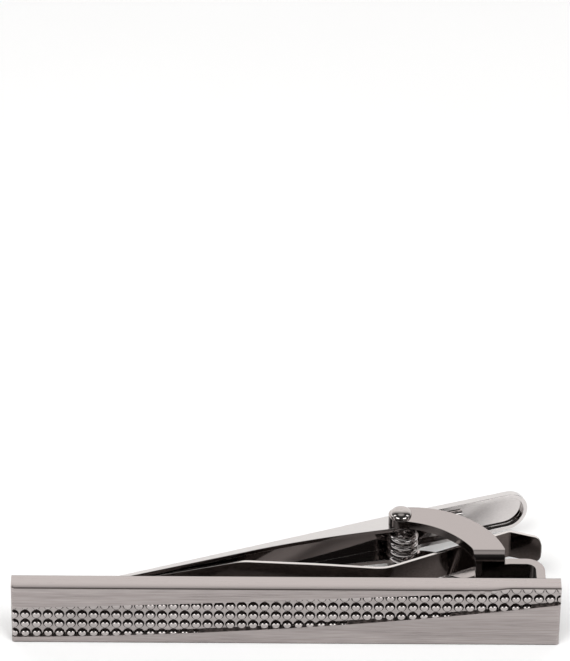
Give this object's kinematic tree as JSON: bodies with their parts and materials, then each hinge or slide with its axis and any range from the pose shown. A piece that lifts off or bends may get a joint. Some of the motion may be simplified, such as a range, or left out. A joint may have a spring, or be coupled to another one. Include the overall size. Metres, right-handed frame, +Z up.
{
  "type": "tie clip",
  "caption": "Straight tie clip: a brushed bar crossed by a wave of small studs, with a sprung lever and grip leaf hinged on a bracket behind it.",
  "frame": {"origin": "middle of the bar's lower edge face, on which the clip stands", "axes": "+X along the bar towards the bracket's end, -Y the front that shows on the tie, +Z up"},
  "size_m": [0.0508, 0.0178, 0.0067],
  "materials": {
    "bar_metal": "lengthwise brushed, warm grey, with polished studs",
    "bracket_metal": "polished dark plating",
    "rivet_metal": "polished dark plating",
    "lever_metal": "polished dark plating",
    "leaf_metal": "polished dark plating",
    "spring_wire": "bright drawn wire"
  },
  "bodies": {
    "clip_frame": {"front_bar": "bar_metal", "bracket": "bracket_metal", "hinge_rivet": "rivet_metal", "torsion_spring": "spring_wire"},
    "lever_arm": {"lever": "lever_metal", "grip_leaf": "leaf_metal"}
  },
  "joints": [
    {"name": "lever_pivot", "type": "hinge", "parent": "clip_frame", "child": "lever_arm", "pos_m": [0.0109, 0.011, 0.00317], "axis": [0, 0, -1], "range_deg": [0, 16], "stiffness_Nm_per_rad": 0.05, "springref_deg": -57.3, "deforming": ["torsion_spring"]}
  ]
}
